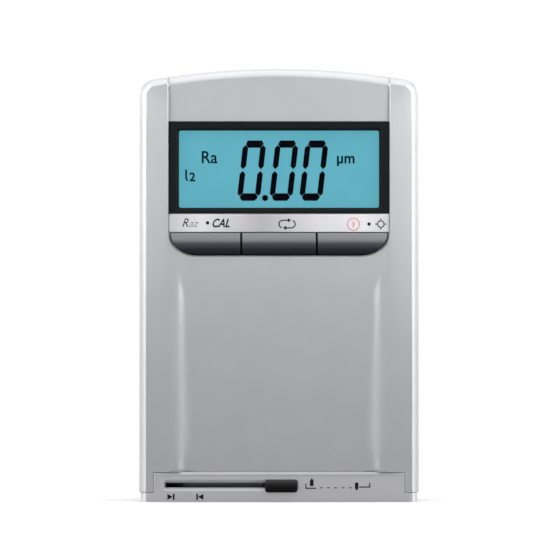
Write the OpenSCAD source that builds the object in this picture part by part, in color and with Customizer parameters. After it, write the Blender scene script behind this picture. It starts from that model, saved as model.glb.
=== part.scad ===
// Pocket surface roughness tester, standing on its base
// Millimetres; x to the right, y from the front to the back, z up; the base rests on z = 0

/* [Body] */
// Overall width of the housing
body_w = 69.4; // [68.4:0.2:76]
// Overall height of the housing
body_h = 107.4; // [104.5:0.1:116]
// Overall depth, from the crown of the keys to the back face
body_d = 24; // [23.5:0.25:28]
// Wall thickness of the two shells
wall = 2; // [1.7:0.1:2.2]
// Radius of the arched top
arch_r = 183; // [150:1:240]
// Radius of the two top corners
corner_r = 4; // [3.8:0.1:5]
// Radius of the rounded rim round the front
edge_r = 3.1; // [2.4:0.1:3.4]
// Angle at which the rim leaves the rails
edge_start = 25; // [15:1:35]
// Angle at which the rim leaves the display panel, at the top
panel_start = 13; // [8:1:20]
// How far the side rails fall off towards the rim
rail_fall = 0.35; // [0.1:0.05:0.5]
// Rounding of the back edge
back_edge_r = 2.4; // [1:0.1:2.8]
// Height of the side rails over the display panel
rail_rise = 0.8; // [0.5:0.1:1.1]
// Depth of the thumb recess below the rails
thumb_depth = 0.8; // [0.4:0.1:1.1]
// Width of the thumb recess at its floor
thumb_w = 47; // [40:0.5:50]
// Length of the slope at the top of the thumb recess
thumb_slope = 5.6; // [3:0.1:8]
// Outside diameter of the screw posts
post_d = 5.5; // [5:0.1:5.8]

/* [Display] */
// Width of the display panel between the rails
panel_w = 54.8; // [54.2:0.1:55.6]
// Distance from the top of the arch down to the bezel
bezel_drop = 13.2; // [12.6:0.1:15]
// Height of the bezel
bezel_h = 22.8; // [22.4:0.1:24]
// How far the bezel stands out of the display panel
bezel_rise = 0.4; // [0.2:0.1:0.7]
// Width of the bezel beside the visible display
bezel_side = 2.65; // [2.2:0.05:3.5]
// Mean height of the bezel over and under the visible display
bezel_band = 1.85; // [1.6:0.05:2.6]
// How far the visible display lies below the middle of the bezel
view_drop = 0.4; // [0:0.05:0.5]
// Thickness of the display glass
glass_t = 2.2; // [1.6:0.1:2.6]
// Thickness of the backlight panel
light_t = 2.8; // [2.4:0.1:3.4]
// Height of the legend plate
legend_h = 4.65; // [4:0.05:5.2]
// Thickness of the legend plate
legend_t = 0.3; // [0.2:0.05:0.5]

/* [Keys] */
// Height of the row of keys
key_h = 5.4; // [5:0.1:6.2]
// Width of the middle key
key_mid_w = 18.2; // [15:0.2:22]
// Gap between neighbouring keys
key_gap = 0.5; // [0.3:0.1:0.9]
// Sideways reach of the rounding at the row's lower corners
key_bow = 6.9; // [4:0.1:9]
// Width of the bevel beside the gaps between the keys
key_edge = 0.35; // [0.2:0.05:0.6]
// How far the keys stand out in front of the rails
key_rise = 0.6; // [0.3:0.1:0.9]
// Travel of a key
key_travel = 0.6; // [0.4:0.1:0.9]

/* [Base] */
// Height of the base block
base_h = 7.4; // [7.1:0.1:8.2]
// Height of the foot plate under the shells
foot_h = 2.3; // [2.1:0.1:2.6]
// Distance from the side of the housing to the base block
base_side = 3.6; // [3.4:0.1:4]
// How far the base block lies behind the rails
base_set = 0.15; // [0.1:0.05:0.5]
// Reach of the rounded edge round the front of the base block
base_edge = 1.2; // [0.8:0.1:1.4]
// Height of the slider slot
slot_h = 1.25; // [1.1:0.05:1.5]
// Height of the slot's centre over the rest face
slot_z = 4.2; // [4:0.05:4.4]
// Distance from the inside of the tray to the slot's left end
slot_margin = 1.35; // [0.8:0.05:2]
// Bevel round the slot
slot_bevel = 0.75; // [0.4:0.05:0.8]
// Bevel at the ends of the slot
slot_end = 0.35; // [0.2:0.05:0.6]

/* [Shutter] */
// Travel of the slider, from working to closed
slide_travel = 24.9; // [23.6:0.1:25.6]
// Length of the slider knob
knob_w = 8; // [7:0.1:9]
// Height of the slider knob
knob_h = 3.2; // [2.6:0.1:3.4]
// How far the knob hangs below the middle of the slot
knob_drop = 0.2; // [0:0.05:0.3]
// Thickness of the shutter plate
plate_t = 1; // [0.8:0.05:1.1]

/* [Traverse] */
// Tracing length of the stylus
trace_l = 6; // [5:0.1:6.4]
// Diameter of the guide rod
rod_d = 3; // [2.5:0.1:3.4]
// Diameter of the lead screw
screw_d = 2.5; // [2:0.1:2.8]
// Module of the gears
gear_m = 0.3; // [0.28:0.01:0.32]
// Teeth of the gear on the lead screw
screw_teeth = 27; // [26:1:28]
// Teeth of the motor pinion
pinion_teeth = 18; // [17:1:19]
// Diameter of the motor
motor_d = 10; // [9:0.1:10.4]
// Room left between the motor and the right side wall
motor_room = 2.7; // [1:0.1:5]

/* [Pickup] */
// Distance from the pivot to the stylus
arm_l = 24.9; // [24:0.1:25.6]
// Width of the pickup arm
arm_w = 3.4; // [3:0.1:3.8]
// Height the stylus is lifted when the shutter is closed
stylus_lift = 5; // [4.6:0.1:5.4]
// Height of the stylus tip over the rest face
tip_gap = 0.1; // [0.05:0.05:0.2]
// Distance from the stylus to the skid
skid_l = 2.9; // [2.6:0.1:3.2]
// Diameter of the pivot pin
pivot_d = 1.2; // [1:0.1:1.4]

/* [Power] */
// Width of the battery
cell_w = 40; // [34:0.5:42]
// Height of the battery
cell_h = 30; // [26:0.5:34]
// Thickness of the battery
cell_t = 7.5; // [6:0.1:8.5]
// Height of the charging socket over the rest face
jack_z = 46; // [44:0.5:56]
// Bore of the charging socket
jack_bore = 3.6; // [3.4:0.1:4]
// Diameter of the pin in the charging socket
jack_pin = 1.3; // [1.1:0.1:1.6]

/* [Clearances] */
// Gap between pieces that are fixed to each other
fit_gap = 0.1; // [0.05:0.01:0.14]
// Gap round pieces that slide
move_gap = 0.2; // [0.15:0.01:0.25]
// Running gap of shafts and pins, on the radius
run_gap = 0.03; // [0.02:0.01:0.05]
// Seam between the base block and the front shell
seam = 0.04; // [0.02:0.02:0.2]

/* [Hidden] */
$fn = 64;
eps = 0.02;

// Depths, from the front to the back
y_crown = -body_d / 2;
y_face = y_crown + key_rise;
y_panel = y_face + rail_rise;
y_in = y_panel + wall;
y_split = y_in + fit_gap + glass_t + light_t;
board_t = 1.6;
y_board = y_split + board_t;
y_back = body_d / 2;
y_in_back = y_back - wall;
y_base = y_face + base_set;

// Heights, from the top down
z_bezel_top = body_h - bezel_drop;
z_bezel = z_bezel_top - bezel_h;
z_view = (z_bezel_top + z_bezel) / 2 - view_drop;
z_legend = z_bezel - legend_h;
z_key_top = z_legend - 0.15;
z_key = z_key_top - key_h;
z_thumb = z_key - 3.8;
z_shell = foot_h + fit_gap;
z_board = 26;

// Screw posts
lip_t = 0.9;
lip_l = 1.2;
post_x = body_w / 2 - wall - fit_gap - lip_t - 0.25 - post_d / 2;
post_z_top = body_h - 9;
post_z_low = z_board + 3.4;
case_screw_d = 2.2;
case_head_d = 4.2;
case_head_t = 1.6;
head_sink = 3.2;
rear_post_d = 6.4;

// Display and keys
bezel_seat = 1;
view_w = panel_w - 2 * bezel_side;
view_h = bezel_h - 2 * bezel_band;
panel_edge = 0.6;
row_w = panel_w - 2 * panel_edge;
flange_t = 0.8;
nub_l = 0.8;
y_flange = y_in + fit_gap;
y_nub = y_flange + flange_t + nub_l;
y_plunger = y_nub + key_travel + 0.1;
switch_x = key_mid_w / 2 + key_gap + (row_w / 2 - key_mid_w / 2 - key_gap) / 2 - 1;

// Base tray
tray_wall = 1.6;
tray_x = body_w / 2 - base_side;
tray_in = tray_x - tray_wall;
y_tray = y_in_back - fit_gap;
floor_t = 0.8;
base_post_x = tray_in - 5.5;
base_post_z = 5.3;
base_post_d = 5.2;
base_post_l = 6;
base_screw_l = 5;
base_head_t = 1.2;
base_head_sink = 1.4;

// Pickup and shutter, from the left wall of the tray
window_x0 = -tray_in + 2;
stylus_x = window_x0 + 1.6 + trace_l / 2;
skid_x = stylus_x + skid_l;
window_x1 = skid_x + trace_l / 2 + 1.5;
window_w = 5;
arm_y = y_in + 5.6;
pivot_x = stylus_x + arm_l;
pivot_z = 6;
lift_angle = asin(stylus_lift / arm_l);
web_x0 = -tray_in + slide_travel + 0.3;
web_t = 1;
y_web = y_in + move_gap;
follower_x = web_x0 + 0.8;
follower_l = pivot_x - follower_x;
follower_d = 1;
ramp_rise = follower_l * sin(lift_angle);
web_x1 = follower_x + slide_travel + 1;
ramp_z = pivot_z - follower_d / 2 - 0.3;
plate_z = floor_t + 0.05;
plate_x0 = window_x0 - 1 + slide_travel;
plate_x1 = window_x1 + 1 + slide_travel;
plate_y1 = arm_y + window_w / 2 + 0.7;
neck_w = knob_w - 1.4;
neck_play = 0.5;
slot_x0 = -tray_in + slot_margin;
knob_x = slot_x0 + neck_play + slide_travel + neck_w / 2;
slot_x1 = knob_x + neck_w / 2 + neck_play;

// Traverse drive
car_x0 = pivot_x - 3;
car_x1 = pivot_x + 5;
car_z0 = 8;
car_z1 = 18.2;
screw_y = y_in + 6.6;
screw_z = 15;
rod_z = 10.6;
rod_wall = 0.9;
nut_d = 5;
bush_d = 4.5;
side_t = 1.2;
left_x0 = -tray_in + 0.2;
right_x0 = car_x1 + trace_l / 2 + 0.4;
gear_x0 = right_x0 + side_t + 0.4;
gear_w = 2.4;
motor_x0 = gear_x0 + gear_w + 0.4;
gear_dist = gear_m * (screw_teeth + pinion_teeth) / 2 + 0.03;
motor_back = 1.3;
gear_angle = acos(min(0.95, (y_in_back - motor_back - motor_d / 2 - screw_y) / gear_dist));
motor_y = screw_y + gear_dist * cos(gear_angle);
motor_z = screw_z + gear_dist * sin(gear_angle);
motor_l = body_w / 2 - wall - motor_room - motor_x0 - side_t;
shaft_d = 1.5;
shaft_in = 3.6;
boss_d = 4;
frame_y0 = screw_y - 3.4;
pinion_tip = gear_m * (pinion_teeth / 2 + 0.95);
frame_y1 = motor_y + pinion_tip + 0.3 + side_t;
frame_leg_y = plate_y1 + 0.9;
frame_leg_y1 = frame_y1 - 0.5;
frame_z0 = 9;
frame_z1 = 20.6;
rod_y = frame_y1 - side_t - move_gap - rod_wall - rod_d / 2;

// Colours
silver = [0.72, 0.72, 0.74];
pale = [0.85, 0.85, 0.87];
black = [0.08, 0.08, 0.09];
steel = [0.62, 0.63, 0.65];
brass = [0.78, 0.62, 0.30];

// Points of an arc round c from angle a0 to angle a1
function arc(c, r, a0, a1, n) =
    [for (i = [0 : n]) let (a = a0 + (a1 - a0) * i / n) c + r * [cos(a), sin(a)]];

// Front view of the housing, drawn in by the given amount and cut off at floor_z
function housing(inset, floor_z) =
    let (w = body_w / 2 - inset, rc = max(corner_r - inset, 1), ra = arch_r - inset,
        low = body_h - arch_r, cx = w - rc, cz = low + sqrt((ra - rc) * (ra - rc) - cx * cx),
        a = atan2(cz - low, cx), n = 28)
    concat([[w, floor_z]], arc([cx, cz], rc, 0, a, 9),
        [for (i = [1 : n - 1]) let (t = a + (180 - 2 * a) * i / n) [ra * cos(t), low + ra * sin(t)]],
        arc([-cx, cz], rc, 180 - a, 180, 9), [[-w, floor_z]]);

// Front view of the row of keys, grown by the given amount, with its upper edge at top_z
function key_row(grow, top_z) =
    let (cx = row_w / 2 - key_bow, rx = key_bow + grow, rz = key_h + grow, n = 12)
    concat([[-cx - rx, top_z]],
        [for (i = [0 : n]) let (t = 90 * i / n) [-cx - rx * cos(t), z_key_top - rz * sin(t)]],
        [for (i = [n : -1 : 0]) let (t = 90 * i / n) [cx + rx * cos(t), z_key_top - rz * sin(t)]],
        [[cx + rx, top_z]]);

// Rounded rectangle in the front view, as points at depth y
function frame_ring(cx, cz, w, h, r, y) =
    [for (q = [0 : 3]) let (sx = (q == 0 || q == 3) ? 1 : -1, sz = q < 2 ? 1 : -1)
        each [for (p = arc([cx + sx * (w / 2 - r), cz + sz * (h / 2 - r)], r, 90 * q, 90 * q + 90, 4))
            [p[0], y, p[1]]]];

// Solid through rings of points that all have the same number of points, from the front to the back
module loft(rings) {
    n = len(rings[0]);
    m = len(rings);
    polyhedron(
        points = [for (ring = rings) each ring],
        faces = concat([[for (i = [0 : n - 1]) n - 1 - i]], [[for (i = [0 : n - 1]) (m - 1) * n + i]],
            [for (j = [0 : m - 2]) for (i = [0 : n - 1])
                [j * n + i, j * n + (i + 1) % n, (j + 1) * n + (i + 1) % n, (j + 1) * n + i]]));
}

// Extrudes a front view, drawn in x and z, from depth y0 to depth y1
module depth(y0, y1) {
    translate([0, y1, 0]) rotate([90, 0, 0]) linear_extrude(height = y1 - y0) children();
}

// Extrudes a side view, drawn in y and z, from x0 to x1
module across(x0, x1) {
    translate([x0, 0, 0]) rotate([90, 0, 90]) linear_extrude(height = x1 - x0) children();
}

// Box between two corners
module box(a, b) {
    translate(a) cube(b - a);
}

// Cylinder along y
module along_y(x, z, y0, y1, d) {
    translate([x, y1, z]) rotate([90, 0, 0]) cylinder(h = y1 - y0, d = d);
}

// Cylinder along x
module along_x(y, z, x0, x1, d) {
    translate([x0, y, z]) rotate([0, 90, 0]) cylinder(h = x1 - x0, d = d);
}

// Front half of the housing as a solid, with its front face at depth y falling off towards the rim
module front_slab(y, fall, start) {
    n = 6;
    rail_in = body_w / 2 - panel_w / 2 - 0.4;
    loft(concat(
        fall > 0 ? [[for (p = housing(rail_in, z_shell)) [p[0], y, p[1]]]] : [],
        [for (i = [0 : n]) let (t = start + (90 - start) * i / n)
            [for (p = housing(edge_r * (1 - sin(t)), z_shell))
                [p[0], y + fall + edge_r * (cos(start) - cos(t)), p[1]]]],
        [[for (p = housing(0, z_shell)) [p[0], y_split, p[1]]]]));
}

// Back half of the housing as a solid
module back_slab() {
    n = 7;
    r = back_edge_r;
    loft(concat(
        [[for (p = housing(0, z_shell)) [p[0], y_split, p[1]]]],
        [for (i = [n : -1 : 0]) let (t = 90 * i / n)
            [for (p = housing(r * (1 - sin(t)), z_shell)) [p[0], y_back - r * (1 - cos(t)), p[1]]]]));
}

// Runs its children at the four screw posts
module at_posts() {
    for (s = [-1, 1]) {
        for (z = [post_z_low, post_z_top]) {
            translate([s * post_x, 0, z]) children();
        }
    }
}

// Runs its children at the two screw posts of the base
module at_base_posts() {
    for (s = [-1, 1]) {
        translate([s * base_post_x, 0, base_post_z]) children();
    }
}

// What is cut away over the display panel, between the rails and through the top edge
module display_channel() {
    difference() {
        depth(y_face - 1, y_panel + edge_r + 0.5) polygon(key_row(panel_edge, body_h + 3));
        front_slab(y_panel, 0, panel_start);
    }
}

// Shallow hollow for the thumb, with sloped sides and a long slope at the top
module thumb_recess() {
    side = 1.5;
    hw = thumb_w / 2;
    k = (thumb_depth + 1) / thumb_depth;
    wide = hw + k * side;
    low = z_thumb - thumb_slope;
    high = low + k * thumb_slope;
    loft([
        [for (p = [[-wide, -5], [wide, -5], [wide, high], [-wide, high]]) [p[0], y_face - 1, p[1]]],
        [for (p = [[-hw, -5], [hw, -5], [hw, low], [-hw, low]]) [p[0], y_face + thumb_depth, p[1]]]]);
}

module front_shell() {
    color(silver) difference() {
        union() {
            difference() {
                front_slab(y_face, rail_fall, edge_start);
                display_channel();
                thumb_recess();
                depth(y_in, y_split + 1) polygon(housing(wall, z_shell - 1));
            }
            at_posts() along_y(0, 0, y_in - 0.5, y_split, post_d);
        }
        at_posts() along_y(0, 0, y_in + 0.6, y_split + 1, case_screw_d + 2 * run_gap);
        box([-panel_w / 2, y_face - 1, z_bezel], [panel_w / 2, y_panel + bezel_seat, z_bezel_top]);
        box([-view_w / 2 - 1, y_panel, z_view - view_h / 2 - 1],
            [view_w / 2 + 1, y_in + 1, z_view + view_h / 2 + 1]);
        depth(y_face - 1, y_in + 1) polygon(key_row(move_gap, z_key_top + move_gap));
        box([-tray_x - seam, y_face - 1, -1], [tray_x + seam, y_in + 0.01, base_h + seam]);
    }
}

module rear_shell() {
    color(silver) difference() {
        union() {
            difference() {
                back_slab();
                depth(y_split - 1, y_in_back) polygon(housing(wall, z_shell - 1));
            }
            depth(y_split, y_split + 1.4) difference() {
                polygon(housing(wall - 0.4, z_shell));
                polygon(housing(wall + fit_gap + lip_t, z_shell - 1));
            }
            depth(y_split - lip_l, y_split + 0.5) difference() {
                polygon(housing(wall + fit_gap, z_shell));
                polygon(housing(wall + fit_gap + lip_t, z_shell - 1));
            }
            at_posts() along_y(0, 0, y_board, y_in_back + 0.5, rear_post_d);
            cell_cradle();
        }
        at_posts() along_y(0, 0, y_board - 1, y_back + 1, case_screw_d + 0.3);
        at_posts() along_y(0, 0, y_back - head_sink, y_back + 1, case_head_d + 0.3);
        at_base_posts() along_y(0, 0, y_in_back - 1, y_back + 1, case_screw_d + 0.3);
        at_base_posts() along_y(0, 0, y_back - base_head_sink, y_back + 1, case_head_d + 0.3);
        along_x(jack_y, jack_z, body_w / 2 - wall - 1, body_w / 2 + 1, jack_nose_d + 0.3);
    }
}

// Ribs that hold the battery on the back wall
cell_x0 = -cell_w / 2 - 2;
cell_z0 = z_board + 7;
module cell_cradle() {
    rib = 1;
    depth(y_in_back - 3, y_in_back + 0.5) difference() {
        translate([cell_x0 - fit_gap - rib, cell_z0 - fit_gap - rib])
            square([cell_w + 2 * fit_gap + 2 * rib, cell_h + 2 * fit_gap + 2 * rib]);
        translate([cell_x0 - fit_gap, cell_z0 - fit_gap])
            square([cell_w + 2 * fit_gap, cell_h + 2 * fit_gap]);
    }
}

// Base tray with its foot plate, the slider slot and the window for the stylus
module base_frame() {
    foot_x = body_w / 2 - 0.4;
    foot_y = y_back - 0.4;
    r = 2.2;
    soft_edge = [for (i = [0 : 4]) let (t = 30 - 7.5 * i) base_edge * [1 - 2 * sin(t), 2 - 2 * cos(t)]];
    color(pale) difference() {
        union() {
            box([-foot_x + r, y_base, 0], [foot_x - r, foot_y, foot_h]);
            box([-foot_x, y_base + r, 0], [foot_x, foot_y - r, foot_h]);
            for (x = [-foot_x + r, foot_x - r]) {
                for (y = [y_base + r, foot_y - r]) {
                    translate([x, y, 0]) cylinder(h = foot_h, r = r);
                }
            }
            difference() {
                intersection() {
                    across(-tray_x, tray_x) polygon(concat([[y_base, 0], [y_tray, 0], [y_tray, base_h]],
                        [for (p = soft_edge) [y_base + p[1], base_h - p[0]]]));
                    linear_extrude(height = base_h) polygon(concat([[-tray_x, y_tray]],
                        [for (p = soft_edge) [-tray_x + p[0], y_base + p[1]]],
                        [for (i = [4 : -1 : 0]) [tray_x - soft_edge[i][0], y_base + soft_edge[i][1]]],
                        [[tray_x, y_tray]]));
                }
                box([-tray_in, y_in, foot_h], [tray_in, y_tray - tray_wall, base_h + 1]);
            }
            at_base_posts() along_y(0, 0, y_tray - base_post_l, y_tray - 0.5, base_post_d);
        }
        at_base_posts() along_y(0, 0, y_tray - base_post_l - 1, y_tray + 1, case_screw_d + 2 * run_gap);
        box([-tray_in, y_in, floor_t], [web_x1 + 0.4, plate_y1 + 0.4, foot_h + eps]);
        box([window_x0, arm_y - window_w / 2, -1], [window_x1, arm_y + window_w / 2, foot_h]);
        box([slot_x0, y_base - 1, slot_z - slot_h / 2], [slot_x1, y_in + eps, slot_z + slot_h / 2]);
        slot_mouth();
    }
}

// Bevel round the mouth of the slider slot
module slot_mouth() {
    b = slot_bevel;
    cx = (slot_x0 + slot_x1) / 2;
    w = slot_x1 - slot_x0;
    loft([frame_ring(cx, slot_z, w + 4 * slot_end, slot_h + 4 * b, 0.6 + slot_end, y_base - b),
        frame_ring(cx, slot_z, w, slot_h, 0.3, y_base + b)]);
}

module lcd_bezel() {
    w = panel_w - 2 * fit_gap;
    h = bezel_h - 2 * fit_gap;
    yf = y_panel - bezel_rise;
    yb = y_panel + bezel_seat;
    color(black) difference() {
        box([-w / 2, yf, z_bezel + fit_gap], [w / 2, yb, z_bezel + fit_gap + h]);
        loft([frame_ring(0, z_view, view_w + 1.6, view_h + 1.6, 1.0, yf - 0.2),
            frame_ring(0, z_view, view_w, view_h, 0.5, yf + 0.9),
            frame_ring(0, z_view, view_w, view_h, 0.5, yb + 1)]);
    }
}

module lcd_window() {
    color([0.8, 0.9, 0.95, 0.4]) box(
        [-view_w / 2 - 1 + fit_gap, y_panel + bezel_seat, z_view - view_h / 2 - 1 + fit_gap],
        [view_w / 2 + 1 - fit_gap, y_in, z_view + view_h / 2 + 1 - fit_gap]);
}

module lcd_glass() {
    color([0.39, 0.69, 0.77]) box([-view_w / 2 - 1.6, y_in + fit_gap, z_view - view_h / 2 - 1.6],
        [view_w / 2 + 1.6, y_in + fit_gap + glass_t, z_view + view_h / 2 + 1.6]);
}

module lcd_backlight() {
    color([0.9, 0.95, 0.95]) box([-view_w / 2 - 1.2, y_in + fit_gap + glass_t, z_view - view_h / 2 - 1.2],
        [view_w / 2 + 1.2, y_split, z_view + view_h / 2 + 1.2]);
}

module legend_plate() {
    w = panel_w - 2 * fit_gap;
    color(pale) box([-w / 2, y_panel - legend_t, z_legend + fit_gap], [w / 2, y_panel, z_bezel - fit_gap]);
}

// Side view of a key at x, its crown set back by the given amount
function key_side(x, back) =
    let (zc = z_key + 0.62 * key_h, y0 = y_crown + back, y1 = y_panel - 0.2 + back)
    [for (p = concat([[y_flange + 0.3, z_key_top], [y0 + 0.5, z_key_top]],
        [for (i = [0 : 10]) let (t = 9 * i) [y0 + (y1 - y0) * (1 - cos(t)), zc - (zc - z_key) * sin(t)]],
        [[y_flange + 0.3, z_key]])) [x, p[0], p[1]]];

// One key between x0 and x1, with its flange from f0 to f1 behind the shell
module key(x0, x1, f0, f1, nub_x) {
    back = key_edge / 2;
    color([0.45, 0.45, 0.47]) union() {
        intersection() {
            loft([key_side(x1, back), key_side(x1 - key_edge, 0), key_side(x0 + key_edge, 0),
                key_side(x0, back)]);
            depth(y_crown - 1, y_in + 1) polygon(key_row(0, z_key_top));
        }
        box([f0, y_flange, z_key - 0.8], [f1, y_flange + flange_t, z_key_top + 0.8]);
        along_y(nub_x, (z_key + z_key_top) / 2, y_flange + 0.4, y_nub, 3);
    }
}

module key_left() {
    x1 = -key_mid_w / 2 - key_gap;
    key(-row_w / 2, x1, -row_w / 2 - 0.6, x1, -switch_x);
}

module key_middle() {
    key(-key_mid_w / 2, key_mid_w / 2, -key_mid_w / 2, key_mid_w / 2, 0);
}

module key_right() {
    x0 = key_mid_w / 2 + key_gap;
    key(x0, row_w / 2, x0, row_w / 2 + 0.6, switch_x);
}

module main_board() {
    color([0.10, 0.35, 0.20]) depth(y_split, y_board) difference() {
        polygon(housing(wall + fit_gap + lip_t + 0.3, z_board));
        for (s = [-1, 1]) {
            for (z = [post_z_low, post_z_top]) {
                translate([s * post_x, z]) circle(d = case_screw_d + 0.4);
            }
        }
    }
}

module key_switches() {
    z = (z_key + z_key_top) / 2;
    color(black) for (x = [-switch_x, 0, switch_x]) {
        box([x - 3, y_plunger + 0.7, z - 3], [x + 3, y_split, z + 3]);
        along_y(x, z, y_plunger, y_plunger + 1, 3);
    }
}

// Processor, memory and clock crystal on the back of the board
chip_w = 12;
chip_t = 1.5;
memory_w = 8;
memory_h = 6;
crystal_w = 7;
crystal_h = 3.4;
module chip(x, z, w, h) {
    box([x, y_board, z], [x + w, y_board + chip_t, z + h]);
}

module board_chips() {
    color(black) {
        chip(-1.6 * chip_w, z_view - chip_w, chip_w, chip_w);
        chip(memory_w / 2, z_view - chip_w, memory_w, memory_h);
        chip(2 * crystal_w, z_view - crystal_h, crystal_w, crystal_h);
    }
}

module battery() {
    r = 1.5;
    x0 = cell_x0;
    x1 = cell_x0 + cell_w;
    z0 = cell_z0;
    z1 = cell_z0 + cell_h;
    color([0.55, 0.57, 0.62]) depth(y_in_back - cell_t, y_in_back) union() {
        translate([x0 + r, z0]) square([cell_w - 2 * r, cell_h]);
        translate([x0, z0 + r]) square([cell_w, cell_h - 2 * r]);
        for (x = [x0 + r, x1 - r]) {
            for (z = [z0 + r, z1 - r]) {
                translate([x, z]) circle(r = r);
            }
        }
    }
}

// Charging socket on the board, its mouth in the right side wall
jack_h = 6.8;
jack_w = 8.8;
jack_l = 10;
jack_bore_l = 8;
jack_y = y_board + jack_h / 2;
jack_nose_d = 5.8;
jack_x1 = body_w / 2 - wall - fit_gap;
jack_face = body_w / 2 - 0.4;
module charge_socket() {
    floor_x = jack_face - jack_bore_l;
    color(black) difference() {
        union() {
            box([jack_x1 - jack_l, y_board, jack_z - jack_w / 2],
                [jack_x1, y_board + jack_h, jack_z + jack_w / 2]);
            along_x(jack_y, jack_z, jack_x1 - 1, jack_face, jack_nose_d);
        }
        difference() {
            along_x(jack_y, jack_z, floor_x, jack_face + 1, jack_bore);
            along_x(jack_y, jack_z, floor_x - 1, jack_face - 0.6, jack_pin);
        }
    }
}

// Cross-head screw along y, with its tip at y0 and the underside of its head at seat
module screw(y0, seat, head_t) {
    y1 = seat + head_t;
    color(steel) difference() {
        union() {
            along_y(0, 0, seat, y1, case_head_d);
            along_y(0, 0, y0, seat + 0.4, case_screw_d);
        }
        box([-1.2, y1 - 0.8, -0.25], [1.2, y1 + 1, 0.25]);
        box([-0.25, y1 - 0.8, -1.2], [0.25, y1 + 1, 1.2]);
    }
}

module case_screws() {
    at_posts() screw(y_in + 0.8, y_back - head_sink, case_head_t);
}

module base_screws() {
    at_base_posts() screw(y_tray - base_screw_l, y_back - base_head_sink, base_head_t);
}

// End plate of the drive frame at x0, its leg standing on the tray floor
module frame_plate(x0) {
    across(x0, x0 + side_t) polygon([[frame_leg_y, foot_h], [frame_leg_y1, foot_h], [frame_leg_y1, frame_z0],
        [frame_y1, frame_z0], [frame_y1, frame_z1], [frame_y0, frame_z1], [frame_y0, frame_z0],
        [frame_leg_y, frame_z0]]);
}

module drive_frame() {
    color(steel) difference() {
        union() {
            frame_plate(left_x0);
            frame_plate(right_x0);
            box([motor_x0, screw_y - 0.5, frame_z0], [motor_x0 + side_t, frame_y1, motor_z + boss_d / 2 + 1]);
            box([left_x0, frame_y1 - side_t, frame_z0 - 0.4], [motor_x0 + side_t, frame_y1, frame_z1]);
        }
        along_x(screw_y, screw_z, left_x0 - 1, right_x0 + side_t + 0.1, bush_d);
        along_x(rod_y, rod_z, left_x0 - 1, right_x0 + side_t + 0.1, rod_d + 2 * run_gap);
        along_x(motor_y, motor_z, motor_x0 - 0.1, motor_x0 + side_t + 1, boss_d + 2 * run_gap);
    }
}

module motor() {
    x0 = motor_x0 + side_t;
    color(steel) difference() {
        union() {
            along_x(motor_y, motor_z, x0, x0 + motor_l, motor_d);
            along_x(motor_y, motor_z, motor_x0 + 0.2, x0 + 1, boss_d);
        }
        along_x(motor_y, motor_z, motor_x0 - 1, x0 + shaft_in + 0.4, shaft_d + 2 * run_gap);
    }
}

// Angle between a radius and the involute's start, for a point on the tooth flank
function spread(r, rb) = let (a = acos(min(1, rb / r))) tan(a) * 180 / PI - a;

// Gear outline with involute flanks and one tooth centred on the x axis
module gear(teeth) {
    rp = gear_m * teeth / 2;
    rb = rp * cos(20);
    tip = rp + gear_m * 0.95;
    root = rp - gear_m * 1.25;
    half = 90 / teeth - 0.02 / rp * 180 / PI + spread(rp, rb);
    steps = [for (i = [0 : 4]) root + (tip - root) * i / 4];
    polygon([for (k = [0 : teeth - 1]) each concat(
        [for (r = steps) let (a = k * 360 / teeth - half + spread(max(r, rb), rb)) r * [cos(a), sin(a)]],
        [for (i = [4 : -1 : 0]) let (r = steps[i], a = k * 360 / teeth + half - spread(max(r, rb), rb))
            r * [cos(a), sin(a)]])]);
}

module motor_pinion() {
    color(brass) union() {
        translate([0, motor_y, motor_z]) across(gear_x0 + 0.1, gear_x0 + gear_w - 0.1)
            rotate(gear_angle + 180 + 180 / pinion_teeth) gear(pinion_teeth);
        along_x(motor_y, motor_z, gear_x0 + 0.1, motor_x0 + side_t + shaft_in, shaft_d);
    }
}

module screw_gear() {
    color(brass) difference() {
        translate([0, screw_y, screw_z]) across(gear_x0, gear_x0 + gear_w)
            rotate(gear_angle) gear(screw_teeth);
        along_x(screw_y, screw_z, gear_x0 - 1, gear_x0 + gear_w + 1, screw_d + 0.04);
    }
}

module lead_screw() {
    color(steel) along_x(screw_y, screw_z, left_x0, gear_x0 + gear_w, screw_d);
}

module screw_bushes() {
    color(brass) for (x = [left_x0, right_x0]) {
        difference() {
            along_x(screw_y, screw_z, x, x + side_t, bush_d - 0.04);
            along_x(screw_y, screw_z, x - 1, x + side_t + 1, screw_d + 2 * run_gap);
        }
    }
}

module guide_rod() {
    color(steel) along_x(rod_y, rod_z, left_x0, right_x0 + side_t, rod_d);
}

// Carriage that runs on the guide rod and carries the pickup between two ears
module carriage() {
    ear_y0 = arm_y - arm_w / 2 - fit_gap;
    ear_y1 = arm_y + arm_w / 2 + fit_gap;
    color([0.25, 0.25, 0.27]) difference() {
        union() {
            box([car_x0, ear_y0 - 1, car_z0], [car_x1, screw_y + nut_d / 2 + 1.2, car_z1]);
            box([car_x0, screw_y, car_z0], [car_x1, rod_y + rod_d / 2 + rod_wall, rod_z + rod_d / 2 + 1.2]);
            for (y = [ear_y0 - 1, ear_y1]) {
                box([pivot_x - 1.6, y, pivot_z], [pivot_x + 1.6, y + 1, car_z0 + 0.5]);
                along_y(pivot_x, pivot_z, y, y + 1, 3.2);
            }
        }
        along_y(pivot_x, pivot_z, ear_y0 - 2, ear_y1 + 2, pivot_d + 0.04);
        along_x(rod_y, rod_z, car_x0 - 1, car_x1 + 1, rod_d + 2 * run_gap);
        along_x(screw_y, screw_z, car_x0 - 1, car_x1 + 1, nut_d + 0.04);
    }
}

module drive_nut() {
    color(brass) difference() {
        along_x(screw_y, screw_z, car_x0, car_x1, nut_d);
        along_x(screw_y, screw_z, car_x0 - 1, car_x1 + 1, screw_d + 2 * run_gap);
    }
}

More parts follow.
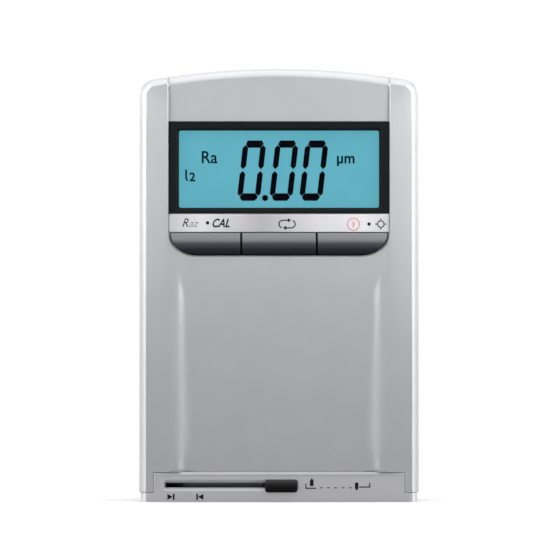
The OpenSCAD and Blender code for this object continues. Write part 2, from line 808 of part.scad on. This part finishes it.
module pivot_pin() {
    w = arm_w / 2 + fit_gap + 1;
    color(steel) along_y(pivot_x, pivot_z, arm_y - w, arm_y + w, pivot_d);
}

// Lever that carries the stylus, with a slot for the sensing plate and a pin that rides on the ramp
arm_z0 = pivot_z - 2.6;
arm_z1 = pivot_z + 0.6;
piezo_l = 9;
module pickup_arm() {
    x0 = stylus_x - 0.9;
    color([0.30, 0.30, 0.33]) difference() {
        union() {
            depth(arm_y - arm_w / 2, arm_y + arm_w / 2) polygon([[x0, arm_z0], [pivot_x + 1.8, arm_z0],
                [pivot_x + 2.6, arm_z0 + 0.8], [pivot_x + 2.6, arm_z1], [x0 + 1.2, arm_z1],
                [x0, arm_z1 - 1]]);
            along_y(follower_x, pivot_z, y_web - 0.05 + 0.3, arm_y, follower_d);
        }
        along_y(pivot_x, pivot_z, arm_y - arm_w, arm_y + arm_w, pivot_d + 2 * run_gap);
        box([x0 - 1, arm_y - 1.3, arm_z0 + 1.5], [stylus_x + piezo_l, arm_y + 1.3, arm_z0 + 2.2]);
        translate([stylus_x, arm_y, arm_z0 - 1]) cylinder(h = 2.7, d = 1.04);
        translate([skid_x, arm_y, arm_z0 - 1]) cylinder(h = 2, d = 1.64);
    }
}

module piezo_plate() {
    color([0.85, 0.75, 0.55]) box([stylus_x - 0.8, arm_y - 1.2, arm_z0 + 1.6],
        [stylus_x + piezo_l - 0.1, arm_y + 1.2, arm_z0 + 2.1]);
}

module skid() {
    r = 1.3;
    color(steel) translate([skid_x, arm_y, 0]) union() {
        translate([0, 0, tip_gap + 0.1 + r]) sphere(r = r);
        translate([0, 0, tip_gap + 0.1 + r]) cylinder(h = arm_z0 + 0.9 - tip_gap - 0.1 - r, d = 1.6);
    }
}

module stylus() {
    cone = 1.2;
    color(steel) translate([stylus_x, arm_y, 0]) union() {
        translate([0, 0, tip_gap]) cylinder(h = cone, d1 = 0.1, d2 = 1);
        translate([0, 0, tip_gap + cone]) cylinder(h = arm_z0 + 1.55 - tip_gap - cone, d = 1);
    }
}

module slider_knob() {
    yb = y_base - 0.1;
    yf = y_crown + 0.05;
    rise = yb - yf;
    knob_z = slot_z - knob_drop;
    color(black) union() {
        loft(concat(
            [for (i = [0 : 5]) let (t = 16 * i, s = 1 - sin(t))
                frame_ring(knob_x, knob_z, knob_w - 1.1 * s, knob_h - 1.6 * s, 0.7 - 0.3 * s,
                    yb - rise * cos(t) * 0.75 - rise * 0.25 * (1 - i / 10))],
            [frame_ring(knob_x, knob_z, knob_w, knob_h, 0.7, yb)]));
        box([knob_x - neck_w / 2, yb - 0.2, slot_z - slot_h / 2 + 0.15],
            [knob_x + neck_w / 2, y_web, slot_z + slot_h / 2 - 0.15]);
    }
}

// Shutter plate with the upright web that the knob is fixed to; the web's top is the ramp for the pickup
module shutter() {
    z1 = ramp_z + ramp_rise * (web_x1 - follower_x) / slide_travel;
    z0 = ramp_z - ramp_rise * (follower_x - web_x0) / slide_travel;
    color([0.12, 0.12, 0.13]) union() {
        depth(y_web, y_web + web_t)
            polygon([[web_x0, plate_z], [web_x1, plate_z], [web_x1, z1], [web_x0, z0]]);
        box([plate_x0, y_web, plate_z], [plate_x1, plate_y1, plate_z + plate_t]);
    }
}

front_shell();
rear_shell();
base_frame();
lcd_bezel();
lcd_window();
lcd_glass();
lcd_backlight();
legend_plate();
key_left();
key_middle();
key_right();
main_board();
key_switches();
board_chips();
battery();
charge_socket();
case_screws();
base_screws();
drive_frame();
motor();
motor_pinion();
screw_gear();
lead_screw();
screw_bushes();
guide_rod();
carriage();
drive_nut();
pivot_pin();
pickup_arm();
piezo_plate();
skid();
stylus();
slider_knob();
shutter();
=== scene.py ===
import math

import bmesh
import bpy
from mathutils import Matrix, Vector


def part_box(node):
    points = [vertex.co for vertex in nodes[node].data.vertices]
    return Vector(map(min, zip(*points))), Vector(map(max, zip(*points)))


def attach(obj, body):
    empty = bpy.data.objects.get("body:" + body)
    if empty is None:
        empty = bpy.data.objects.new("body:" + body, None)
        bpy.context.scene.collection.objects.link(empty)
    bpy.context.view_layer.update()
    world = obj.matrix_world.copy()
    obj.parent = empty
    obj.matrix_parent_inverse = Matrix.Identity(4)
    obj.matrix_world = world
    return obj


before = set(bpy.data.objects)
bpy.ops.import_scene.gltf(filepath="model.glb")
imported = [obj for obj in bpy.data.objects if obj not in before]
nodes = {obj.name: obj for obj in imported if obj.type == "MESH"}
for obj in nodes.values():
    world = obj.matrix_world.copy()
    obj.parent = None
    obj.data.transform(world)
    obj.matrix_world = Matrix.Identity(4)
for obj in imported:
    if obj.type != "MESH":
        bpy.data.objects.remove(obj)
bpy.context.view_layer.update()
scene = bpy.context.scene
MM = 0.001

# Camera: square to the front and far away, framed as in the photograph (metres; lens and sensor in millimetres)
AIM = Vector((0.00025, -0.0114, 0.05496))
CAMERA_AWAY = 1.2
LENS = 311.9
SENSOR = 36
CLIP_NEAR, CLIP_FAR = 0.05, 100

# Near lamps (watts, degrees) and strengths of the far light
KEY_LAMP = 0.0245
KEY_SPREAD = 42
LEFT_LAMP = 0.025
RIGHT_LAMP = 0.038
SIDE_LIGHT = 8.6
TOP_LIGHT = 1.4
CROWN_LIGHT = 0.8
RIM_LIGHT = 2.4
BACK_LIGHT = 1.05

# Smoothing of the CAD pieces: reach that joins their vertices (metres), and the angle that stays an edge (degrees)
WELD_REACH = 2e-6
EDGE_ANGLE = 20
BEVEL_SAMPLES = 6

# Lettering, in millimetres: how far it stands out of its face, and how far it is sunk into it
SEGMENT_THICK = 0.04
PRINT_THICK = 0.02
PRINT_SUNK = 0.01
LEGEND_SHEAR = 0.35
BOLD = 0.025

GLOSS = "Specular IOR Level"


camera = bpy.data.objects.new("camera", bpy.data.cameras.new("camera"))
scene.collection.objects.link(camera)
camera.location = AIM + Vector((0, -CAMERA_AWAY, 0))
camera.rotation_euler = (math.radians(90), 0, 0)
camera.data.lens = LENS
camera.data.sensor_width = SENSOR
camera.data.clip_start = CLIP_NEAR
camera.data.clip_end = CLIP_FAR
scene.camera = camera


# Materials
class Surface:
    """A procedural material: one shader, with helpers that add nodes to it."""

    def __init__(self, name, rough, metal=0.0):
        self.mat = bpy.data.materials.new(name)
        self.mat.use_nodes = True
        self.tree = self.mat.node_tree
        self.tree.nodes.clear()
        out = self.add("ShaderNodeOutputMaterial")
        self.shader = self.add("ShaderNodeBsdfPrincipled")
        self.link(self.shader.outputs[0], out.inputs[0])
        self.set("Roughness", rough)
        self.set("Metallic", metal)
        self.place = self.add("ShaderNodeTexCoord").outputs["Object"]

    def add(self, kind, **values):
        node = self.tree.nodes.new(kind)
        for key, value in values.items():
            setattr(node, key, value)
        return node

    def link(self, a, b):
        self.tree.links.new(a, b)

    def set(self, socket, value):
        self.shader.inputs[socket].default_value = value

    def noise(self, size_mm, stretch=(1, 1, 1), detail=3.0):
        """Noise with features of about this size, drawn out along the axes of stretch."""
        mapping = self.add("ShaderNodeMapping")
        mapping.inputs["Scale"].default_value = [1 / s for s in stretch]
        self.link(self.place, mapping.inputs[0])
        tex = self.add("ShaderNodeTexNoise")
        tex.inputs["Scale"].default_value = 1 / (size_mm * MM)
        tex.inputs["Detail"].default_value = detail
        self.link(mapping.outputs[0], tex.inputs["Vector"])
        return tex.outputs["Fac"]

    def along(self, axis, a_mm, b_mm):
        """0 at a_mm and 1 at b_mm, along one axis."""
        split = self.add("ShaderNodeSeparateXYZ")
        self.link(self.place, split.inputs[0])
        share = self.add("ShaderNodeMapRange")
        share.inputs["From Min"].default_value = a_mm * MM
        share.inputs["From Max"].default_value = b_mm * MM
        self.link(split.outputs[axis], share.inputs["Value"])
        return share.outputs[0]

    def from_sides(self, half_mm):
        """0 at half_mm to either side of the middle, 0.5 in the middle."""
        fold = self.add("ShaderNodeMath", operation="PINGPONG")
        fold.inputs[1].default_value = 0.5
        self.link(self.along("X", -half_mm, half_mm), fold.inputs[0])
        return fold.outputs[0]

    def ramp(self, fac, stops):
        """Colours at these positions of fac, blended in between."""
        node = self.add("ShaderNodeValToRGB")
        marks = node.color_ramp.elements
        while len(marks) < len(stops):
            marks.new(0.5)
        for mark, (pos, colour) in zip(marks, stops):
            mark.position = pos
            mark.color = (*colour, 1)
        self.link(fac, node.inputs[0])
        return node.outputs[0]

    def mix(self, fac, a, b, blend="MIX"):
        node = self.add("ShaderNodeMix", data_type="RGBA", blend_type=blend)
        for socket, value in ((node.inputs[0], fac), (node.inputs[6], a), (node.inputs[7], b)):
            if isinstance(value, bpy.types.NodeSocket):
                self.link(value, socket)
            else:
                socket.default_value = value if socket == node.inputs[0] else (*value, 1)
        return node.outputs[2]

    def colour(self, value):
        self.link(value, self.shader.inputs["Base Color"])

    def rough(self, fac, low, high):
        share = self.add("ShaderNodeMapRange")
        share.inputs["To Min"].default_value = low
        share.inputs["To Max"].default_value = high
        self.link(fac, share.inputs["Value"])
        self.link(share.outputs[0], self.shader.inputs["Roughness"])

    def relief(self, fac, height_mm, edge_mm=0.0):
        """Fine bumps, over edges that catch the light as if rounded."""
        bump = self.add("ShaderNodeBump")
        bump.inputs["Distance"].default_value = height_mm * MM
        self.link(fac, bump.inputs["Height"])
        if edge_mm:
            self.bevel = self.add("ShaderNodeBevel", samples=BEVEL_SAMPLES)
            self.bevel.inputs["Radius"].default_value = edge_mm * MM
            self.link(self.bevel.outputs[0], bump.inputs["Normal"])
        self.link(bump.outputs[0], self.shader.inputs["Normal"])

    def soften(self, fac, reach_mm):
        """Lets the rounding of the edges change over the piece."""
        reach = self.add("ShaderNodeMath", operation="MULTIPLY")
        reach.inputs[1].default_value = reach_mm * MM
        self.link(fac, reach.inputs[0])
        self.link(reach.outputs[0], self.bevel.inputs["Radius"])


def tint(colour, factor):
    return tuple(min(1.0, c * factor) for c in colour)


def grey(level):
    return (level,) * 3


def moulded(name, colour, rough, grain_mm, height_mm, edge_mm, metal=0.0, vary=0.08, flake=0.0):
    """Moulded plastic: cloudy tone and fine grain, with flakes where it is painted."""
    s = Surface(name, rough, metal)
    cloud = s.noise(9.0, detail=4)
    tone = s.ramp(cloud, [(0.3, tint(colour, 1 - vary)), (0.7, tint(colour, 1 + vary))])
    grain = s.noise(grain_mm, detail=2)
    if flake:
        speck = s.ramp(s.noise(0.11, detail=1), [(0.35, grey(1 - flake)), (0.65, grey(1))])
        tone = s.mix(1.0, tone, speck, "MULTIPLY")
    s.colour(tone)
    s.rough(grain, rough - 0.06, rough + 0.06)
    s.relief(grain, height_mm, edge_mm)
    return s


def silver(name, colour, edge_mm):
    """Silver paint under a thin coat."""
    s = moulded(name, colour, 0.4, 0.16, 0.004, edge_mm, metal=0.6, vary=0.02, flake=0.05)
    s.set("Coat Weight", 0.25)
    s.set("Coat Roughness", 0.25)
    return s


def metal(name, colour, rough, stretch=(1, 1, 1)):
    """Bare metal with fine machining lines."""
    s = Surface(name, rough, 1.0)
    lines = s.noise(0.12, stretch, detail=3)
    s.colour(s.ramp(lines, [(0.25, tint(colour, 0.85)), (0.75, tint(colour, 1.1))]))
    s.rough(lines, rough - 0.07, rough + 0.1)
    s.relief(lines, 0.004, 0.06)
    return s


def satin(s, rough_low, rough_high, edge_mm):
    """Gives a dark moulding its fine grain and dull shine."""
    grain = s.noise(0.14, detail=2)
    s.rough(grain, rough_low, rough_high)
    s.relief(grain, 0.005, edge_mm)
    s.set(GLOSS, 0.06)


def ink(name, colour, rough=0.5, gloss=0.1):
    s = Surface(name, rough)
    s.colour(s.ramp(s.noise(0.2), [(0.3, tint(colour, 0.8)), (0.7, tint(colour, 1.15))]))
    s.relief(s.noise(0.08), 0.002)
    s.set(GLOSS, gloss)
    return s


# Name, colour, roughness, then in millimetres: grain, its height, and the rounding of the edges
shell = silver("satin_silver", (0.337, 0.339, 0.347), 0.25)
base = silver("pale_silver", (0.41, 0.41, 0.427), 0.05)
black = moulded("black_moulding", (0.004, 0.0042, 0.0047), 0.38, 0.2, 0.006, 0.15)
board = moulded("green_board", (0.012, 0.04, 0.024), 0.4, 0.6, 0.01, 0.05, vary=0.15)
wrap = moulded("cell_wrap", (0.36, 0.38, 0.42), 0.3, 1.2, 0.02, 0.2)
dark = moulded("dark_moulding", (0.035, 0.035, 0.038), 0.5, 0.2, 0.01, 0.1)
arm = moulded("arm_grey", (0.36, 0.36, 0.37), 0.45, 0.2, 0.008, 0.1)
piezo = moulded("sensing_ceramic", (0.6, 0.47, 0.25), 0.55, 0.1, 0.006, 0.03)
diffuser = moulded("white_diffuser", (0.55, 0.8, 0.85), 0.5, 0.3, 0.005, 0.1)
steel = metal("bright_steel", (0.6, 0.61, 0.63), 0.28)
sheet = metal("folded_sheet", (0.5, 0.5, 0.52), 0.4, (8, 1, 1))
brass = metal("turned_brass", (0.7, 0.5, 0.2), 0.3)
black.set(GLOSS, 0.08)

# Shell: rounding of its edges, as shares of ROUND_REACH, by distance from the sides and by height. Soft at the sides
# of the thumb hollow and softest low down; a bright line along the rails beside the panel; soft across the top rim
FIELD_HALF = 36.0
ROUND_REACH = 8.0
SHARP, SOFT, SOFTEST = grey(0.03), grey(0.25), grey(0.8)
RAIL_TOP, RAIL_FOOT = grey(0.075), grey(0.003)
RIM_SHARP, RIM_SOFT = grey(0.006), grey(0.1)
in_from_side = shell.from_sides(FIELD_HALF)
high = shell.ramp(in_from_side, [(0.12, SHARP), (0.13, SOFT), (0.2, SOFT), (0.21, SHARP)])
deep = shell.ramp(in_from_side, [(0.12, SHARP), (0.13, SOFTEST), (0.2, SOFTEST), (0.21, SHARP)])
rail = shell.ramp(in_from_side, [(0.1194, RAIL_TOP), (0.1196, RAIL_FOOT), (0.132, RAIL_FOOT), (0.134, SHARP)])
edges = shell.mix(shell.along("Z", 12.0, 57.0), deep, high)
edges = shell.mix(shell.along("Z", 9.0, 15.0), high, edges)
edges = shell.mix(shell.along("Z", 57.0, 60.0), edges, SHARP)
edges = shell.mix(shell.along("Z", 94.0, 94.5), edges, rail)
rim = shell.ramp(in_from_side, [(0.11, RIM_SHARP), (0.113, RIM_SOFT), (0.126, RIM_SOFT), (0.129, RIM_SHARP)])
shell.soften(shell.mix(shell.along("Z", 102.4, 103.2), edges, rim), ROUND_REACH)

# Keys: painted light on the flat top edge and painted shade where they roll under, graded by height
keys = Surface("key_satin", 0.36)
key_painted_shade = keys.ramp(keys.along("Z", 61.2, 66.6), [
    (0.0, (0.004, 0.0042, 0.008)), (0.25, (0.007, 0.0072, 0.012)), (0.5, (0.03, 0.03, 0.038)),
    (0.72, (0.107, 0.109, 0.115)), (1.0, (0.123, 0.125, 0.131))])
key_speck = keys.ramp(keys.noise(0.1), [(0.3, grey(0)), (0.7, grey(0.3))])
keys.colour(keys.mix(0.02, key_painted_shade, key_speck))
satin(keys, 0.32, 0.44, 0.22)

# Slider knob: black, with a painted highlight on its top and painted shade below it, graded by height
knob = Surface("knob_satin", 0.4)
knob.colour(knob.ramp(knob.along("Z", 2.4, 5.6), [
    (0.0, (0.001, 0.001, 0.0012)), (0.35, (0.003, 0.003, 0.0034)), (0.55, (0.0075, 0.0076, 0.008)),
    (0.75, (0.02, 0.0203, 0.021)), (0.9, (0.03, 0.0304, 0.0315))]))
satin(knob, 0.36, 0.46, 0.15)

# Legend plate: fine brushed metal, with painted reflections that make it paler and darker along its length
plate = Surface("brushed_plate", 0.38, 0.35)
brush = plate.noise(0.07, (60, 1, 1), detail=3)
brush_tone = plate.ramp(brush, [(0.2, grey(0.86)), (0.8, grey(1))])
# Painted reflection: pale and dark patches along the plate's length
plate_painted_sheen = plate.ramp(plate.along("X", -27.4, 27.4), [
    (0.02, (0.386, 0.386, 0.396)), (0.15, (0.479, 0.479, 0.489)), (0.42, (0.299, 0.299, 0.309)),
    (0.68, (0.448, 0.448, 0.463)), (0.88, (0.51, 0.51, 0.525)), (0.99, (0.422, 0.422, 0.432))])
plate.colour(plate.mix(1.0, plate_painted_sheen, brush_tone, "MULTIPLY"))
plate.rough(brush, 0.3, 0.46)
plate.relief(brush, 0.003, 0.08)

# Display: lit from behind, a little uneven
display = Surface("lit_display", 0.35)
glow = display.ramp(display.noise(14.0, detail=2), [(0.3, (0.101, 0.415, 0.52)), (0.7, (0.118, 0.445, 0.55))])
display.colour(display.mix(0.94, glow, grey(0)))
display.link(glow, display.shader.inputs["Emission Color"])
display.set("Emission Strength", 0.86)
display.set(GLOSS, 0.2)
display.relief(display.noise(0.3), 0.002)

# Window: clear, with only its gloss to see
window = Surface("clear_window", 0.12)
window.colour(window.ramp(window.noise(6.0), [(0.3, (0.02, 0.022, 0.023)), (0.7, (0.025, 0.027, 0.028))]))
window.set("Alpha", 0.01)
window.set(GLOSS, 0.1)
window.relief(window.noise(5.0), 0.002)

segment_ink = ink("segment_dark", (0.001, 0.001, 0.002), 0.6, 0.0)
label_ink = ink("label_dark", (0.001, 0.008, 0.012), 0.6, 0.0)
black_ink = ink("black_print", (0.006, 0.006, 0.007))
grey_ink = ink("grey_print", (0.16, 0.16, 0.17))
red_ink = ink("red_print", (0.42, 0.12, 0.15))

LOOKS = {
    "front_shell": shell, "rear_shell": shell, "base_frame": base, "lcd_bezel": black, "lcd_window": window,
    "lcd_glass": display, "lcd_backlight": diffuser, "legend_plate": plate, "key_left": keys,
    "key_middle": keys, "key_right": keys, "main_board": board, "key_switches": dark, "board_chips": dark,
    "battery": wrap, "charge_socket": black, "case_screws": steel, "base_screws": steel, "drive_frame": sheet,
    "motor": steel, "motor_pinion": brass, "screw_gear": brass, "lead_screw": steel, "screw_bushes": brass,
    "guide_rod": steel, "carriage": dark, "drive_nut": brass, "pivot_pin": steel, "pickup_arm": arm,
    "piezo_plate": piezo, "skid": steel, "stylus": steel, "slider_knob": knob, "shutter": dark,
}
for name, node in nodes.items():
    node.data.materials.clear()
    node.data.materials.append(LOOKS[name].mat)
    if "custom_normal" in node.data.attributes:
        node.data.attributes.remove(node.data.attributes["custom_normal"])
    node.data.shade_smooth()
    weld = node.modifiers.new("weld", "WELD")
    weld.merge_threshold = WELD_REACH
    split = node.modifiers.new("split", "EDGE_SPLIT")
    split.split_angle = math.radians(EDGE_ANGLE)
    even = node.modifiers.new("even", "WEIGHTED_NORMAL")
    even.keep_sharp = True


# Printed pieces: closed prisms whose outlines are drawn in x and z, in millimetres
def finished(name, bm, look, body="housing"):
    bmesh.ops.recalc_face_normals(bm, faces=bm.faces)
    mesh = bpy.data.meshes.new(name)
    bm.to_mesh(mesh)
    bm.free()
    piece = bpy.data.objects.new(name, mesh)
    scene.collection.objects.link(piece)
    mesh.materials.append(look.mat)
    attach(piece, body)


def area(outline):
    return sum(a[0] * b[1] - b[0] * a[1] for a, b in zip(outline, outline[1:] + outline[:1])) / 2


def prisms(name, outlines, look, y_back, thick):
    """One piece from several outlines, standing thick out of the face at y_back."""
    bm = bmesh.new()
    for outline in outlines:
        if area(outline) < 0:
            outline = outline[::-1]
        front = [bm.verts.new((x * MM, (y_back - thick) * MM, z * MM)) for x, z in outline]
        back = [bm.verts.new((x * MM, (y_back + PRINT_SUNK) * MM, z * MM)) for x, z in outline]
        n = len(outline)
        bm.faces.new(front)
        bm.faces.new(back[::-1])
        for i in range(n):
            j = (i + 1) % n
            bm.faces.new((front[j], front[i], back[i], back[j]))
    finished(name, bm, look)


def word(name, text, box, look, y_back, thick, shear=0.0, weight=0.0):
    """Lettering in the built-in typeface, fitted to a box: left, bottom, right, top."""
    x0, z0, x1, z1 = box
    curve = bpy.data.curves.new(name, "FONT")
    curve.body = text
    curve.extrude = 0.5
    curve.resolution_u = 5
    curve.shear = shear
    curve.offset = weight
    text_piece = bpy.data.objects.new(name + "_text", curve)
    scene.collection.objects.link(text_piece)
    bpy.context.view_layer.update()
    solid = text_piece.evaluated_get(bpy.context.evaluated_depsgraph_get())
    mesh = bpy.data.meshes.new_from_object(solid)
    bpy.data.objects.remove(text_piece)
    bm = bmesh.new()
    bm.from_mesh(mesh)
    bpy.data.meshes.remove(mesh)
    bmesh.ops.remove_doubles(bm, verts=bm.verts, dist=1e-5)
    xs = [v.co.x for v in bm.verts]
    ys = [v.co.y for v in bm.verts]
    fit_x = (x1 - x0) / (max(xs) - min(xs))
    fit_z = (z1 - z0) / (max(ys) - min(ys))
    for v in bm.verts:
        x = x0 + (v.co.x - min(xs)) * fit_x
        z = z0 + (v.co.y - min(ys)) * fit_z
        y = y_back - thick if v.co.z > 0 else y_back + PRINT_SUNK
        v.co = (x * MM, y * MM, z * MM)
    finished(name, bm, look)


def disc(cx, cz, r, n=24):
    turn = 2 * math.pi
    return [(cx + r * math.cos(turn * i / n), cz + r * math.sin(turn * i / n)) for i in range(n)]


def bar(x0, z0, x1, z1, width):
    """A straight stroke between two points."""
    d = Vector((x1 - x0, z1 - z0)).normalized() * width / 2
    return [(x0 + d.y, z0 - d.x), (x1 + d.y, z1 - d.x), (x1 - d.y, z1 + d.x), (x0 - d.y, z0 + d.x)]


def ring(cx, cz, r, width, a0=0.0, a1=360.0, n=32):
    """A ring or part of one, as quads."""
    outer, inner = r + width / 2, r - width / 2
    out = []
    for i in range(n):
        t0 = math.radians(a0 + (a1 - a0) * i / n)
        t1 = math.radians(a0 + (a1 - a0) * (i + 1) / n)
        out.append([(cx + q * math.cos(t), cz + q * math.sin(t)) for q, t in
                    ((outer, t0), (outer, t1), (inner, t1), (inner, t0))])
    return out


def zero(x0, z0):
    """A slanted seven-segment nought, without the middle segment."""
    w, h, slant = 5.75, 14.95, 0.113
    half = [
        [(0.72, 1.12), (0.0, 1.85), (0.0, 6.4), (0.66, 7.15), (1.38, 6.35), (1.38, 1.85)],
        [(0.66, 7.55), (0.0, 8.3), (0.0, 13.2), (0.6, 13.75), (1.38, 13.0), (1.38, 8.3)],
    ]
    left = [[(x, h - d) for x, d in part] for part in half]
    right = [[(w - x, z) for x, z in part] for part in left]
    top = [(1.05, h), (w - 1.15, h), (w - 0.62, h - 0.85), (w - 1.35, h - 1.8), (1.35, h - 1.8), (0.72, h - 0.95)]
    bottom = [(1.3, 0), (w - 1.3, 0), (w - 0.7, 0.65), (w - 0.7, 1.15), (w - 1.35, 1.85), (1.35, 1.85),
              (0.7, 1.2), (0.75, 0.65)]
    return [[(x0 + x + slant * z, z0 + z) for x, z in part] for part in left + right + [top, bottom]]


# Display content, on the front of the display glass
DIGIT_Z = 74.6
on_glass = {"y_back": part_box("lcd_glass")[0].y / MM, "thick": SEGMENT_THICK}
digits = zero(-10.5, DIGIT_Z) + zero(-2.5, DIGIT_Z) + zero(4.92, DIGIT_Z) + [disc(-3.45, 75.3, 0.76)]
cutoff = [(-23.25, 82.35), (-23.25, 80.2), (-23.05, 79.65), (-22.55, 79.45), (-22.5, 79.85), (-22.75, 80.0),
          (-22.8, 80.3), (-22.8, 82.35)]
prisms("lcd_digits", digits, segment_ink, **on_glass)
word("lcd_ra", "Ra", (-19.15, 83.85, -15.25, 86.95), label_ink, **on_glass, weight=0.012)
prisms("lcd_l", [cutoff], label_ink, **on_glass)
word("lcd_2", "2", (-22.2, 79.4, -20.75, 81.65), label_ink, **on_glass, weight=BOLD)
word("lcd_unit", "µm", (14.35, 83.2, 18.75, 85.75), label_ink, **on_glass, weight=BOLD)

# Key legends on the bright plate
on_plate = {"y_back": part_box("legend_plate")[0].y / MM, "thick": PRINT_THICK}
word("legend_r", "R", (-23.9, 68.1, -22.35, 70.2), black_ink, **on_plate, shear=LEGEND_SHEAR)
word("legend_az", "az", (-22.3, 68.1, -19.8, 69.3), grey_ink, **on_plate, shear=LEGEND_SHEAR)
word("legend_cal", "CAL", (-16.45, 67.95, -12.15, 70.15), black_ink, **on_plate, shear=LEGEND_SHEAR, weight=BOLD)

ICON_Z = 68.8
STROKE, FINE_STROKE = 0.3, 0.26
cycle = ring(0.95, ICON_Z, 0.95, STROKE, 90, 250, 14) + ring(3.05, ICON_Z, 0.95, STROKE, -90, 70, 14)
cycle += [bar(0.95, 69.75, 2.3, 69.75, STROKE), bar(1.7, 67.85, 3.05, 67.85, STROKE)]
cycle += [[(2.2, 69.2), (3.0, 69.75), (2.2, 70.3)], [(1.8, 67.3), (1.0, 67.85), (1.8, 68.4)]]
dots = [disc(-17.66, 69.1, 0.43), disc(22.28, ICON_Z, 0.43)]
SUN_X, RAY_START, RAY_END = 25.2, 0.95, 1.4
sun = ring(SUN_X, ICON_Z, 0.8, FINE_STROKE, n=24)
for quarter in range(4):
    c, s = math.cos(math.pi / 2 * quarter), math.sin(math.pi / 2 * quarter)
    sun.append(bar(SUN_X + RAY_START * c, ICON_Z + RAY_START * s,
                   SUN_X + RAY_END * c, ICON_Z + RAY_END * s, FINE_STROKE))
prisms("legend_icons", cycle + dots + sun, black_ink, **on_plate)
power = ring(18.4, 68.75, 1.5, 0.22, n=36) + [bar(18.4, 68.05, 18.4, 69.45, 0.28)]
prisms("legend_power", power, red_ink, **on_plate)

# Marks on the base block: ends of the slider's way, and the tracing sketch
on_base = {"y_back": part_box("base_frame")[0].y / MM, "thick": PRINT_THICK}
marks = [[(-27.6, 0.6), (-27.6, 2.05), (-26.25, 1.33)], bar(-26.05, 0.58, -26.05, 2.08, 0.42),
         [(-18.7, 0.6), (-18.7, 2.05), (-20.05, 1.33)], bar(-20.25, 0.58, -20.25, 2.08, 0.42)]
THIN, DASH_HALF = 0.28, 0.35
sketch = [bar(6.67, 3.4, 6.67, 4.6, THIN), bar(6.55, 3.45, 9.2, 3.45, THIN),
          bar(8.1, 4.0, 8.1, 5.5, 0.9), bar(8.1, 5.2, 8.1, 5.8, 0.45)]
sketch += [bar(x - DASH_HALF, 3.55, x + DASH_HALF, 3.55, 0.22) for x in (10.47, 12.2, 14.0, 15.88, 17.66)]
sketch += [bar(19.2, 3.3, 19.2, 4.85, 0.85), bar(19.2, 2.95, 19.2, 3.5, 0.4),
           bar(19.8, 3.75, 22.5, 3.75, THIN), bar(22.45, 3.65, 22.45, 4.75, THIN)]
prisms("slot_marks", marks, black_ink, **on_base)
prisms("trace_sketch", sketch, black_ink, **on_base)


# Studio, near: two key lamps above and a strip lamp at each side, over a pale floor (metres)
def lamp(name, energy, place, aim, size):
    data = bpy.data.lights.new(name, "AREA")
    data.energy = energy
    data.shape = "RECTANGLE"
    data.size, data.size_y = size
    light = bpy.data.objects.new(name, data)
    scene.collection.objects.link(light)
    light.location = place
    light.visible_camera = False
    light.rotation_euler = (Vector(aim) - Vector(place)).to_track_quat("-Z", "Y").to_euler()
    return light


FRONT_Y = -0.011
FLOOR_RADIUS = 40
for hand in (-1, 1):
    key_lamp = lamp("key", KEY_LAMP, (0.12 * hand, -0.11, 0.19), (0, FRONT_Y, 0.1), (0.08, 0.08))
    key_lamp.data.spread = math.radians(KEY_SPREAD)
for name, hand, energy in (("left", -1, LEFT_LAMP), ("right", 1, RIGHT_LAMP)):
    lamp(name, energy, (0.065 * hand, -0.065, 0.1), (0.03 * hand, FRONT_Y, 0.09), (0.02, 0.1))

floor_mesh = bpy.data.meshes.new("floor")
floor_bm = bmesh.new()
bmesh.ops.create_circle(floor_bm, cap_ends=True, segments=64, radius=FLOOR_RADIUS)
floor_bm.to_mesh(floor_mesh)
floor_bm.free()
floor = bpy.data.objects.new("floor", floor_mesh)
scene.collection.objects.link(floor)
pale = Surface("pale_floor", 0.9)
pale.colour(pale.ramp(pale.noise(400.0), [(0.3, grey(0.65)), (0.7, grey(0.67))]))
pale.set(GLOSS, 0.0)
floor_mesh.materials.append(pale.mat)

# Studio, far: light by its direction, whose x, y and z run from -1 to 1, with y from the front to the back
world = bpy.data.worlds.new("studio")
world.use_nodes = True
sky = world.node_tree
ways = sky.nodes.new("ShaderNodeSeparateXYZ")
sky.links.new(sky.nodes.new("ShaderNodeTexCoord").outputs["Generated"], ways.inputs[0])
way_x, way_y, way_z = (ways.outputs[axis] for axis in "XYZ")


def span(value, low, high, a, b):
    """From a, where value is low, to b, where it is high."""
    node = sky.nodes.new("ShaderNodeMapRange")
    node.interpolation_type = "SMOOTHSTEP"
    for socket, number in zip(node.inputs[1:5], (low, high, a, b)):
        socket.default_value = number
    sky.links.new(value, node.inputs[0])
    return node.outputs[0]


def calc(operation, a, b):
    node = sky.nodes.new("ShaderNodeMath")
    node.operation = operation
    sky.links.new(a, node.inputs[0])
    sky.links.new(b, node.inputs[1])
    return node.outputs[0]


def times(a, b):
    return calc("MULTIPLY", a, b)


def plus(a, b):
    return calc("ADD", a, b)


# A soft box at each side of the front, and one above with a brighter crown
across = times(way_x, way_x)
not_high = span(way_z, 0.35, 0.75, 1.0, 0.0)
not_behind = span(way_y, -0.1, 0.3, 1.0, 0.0)
ahead = span(way_y, -0.35, 0.05, 1.0, 0.0)
sides = times(times(span(across, 0.57, 0.77, 0.0, SIDE_LIGHT), not_high), ahead)
above = plus(times(span(way_z, 0.4, 0.8, 0.0, TOP_LIGHT), not_behind), span(way_z, 0.8, 0.95, 0.0, CROWN_LIGHT))

# Light from behind for the rims, weaker high up, and a wall straight behind that shows as white
behind = times(span(way_y, -0.25, 0.2, 0.0, RIM_LIGHT), span(way_z, 0.15, 0.45, 1.0, 0.6))
behind = plus(behind, span(way_y, 0.98, 0.995, 0.0, BACK_LIGHT - RIM_LIGHT))
total = plus(plus(sides, above), behind)
sky.links.new(total, sky.nodes["Background"].inputs[1])
sky.nodes["Background"].inputs[0].default_value = (1, 1, 1, 1)
scene.world = world
scene.view_settings.view_transform = "Standard"
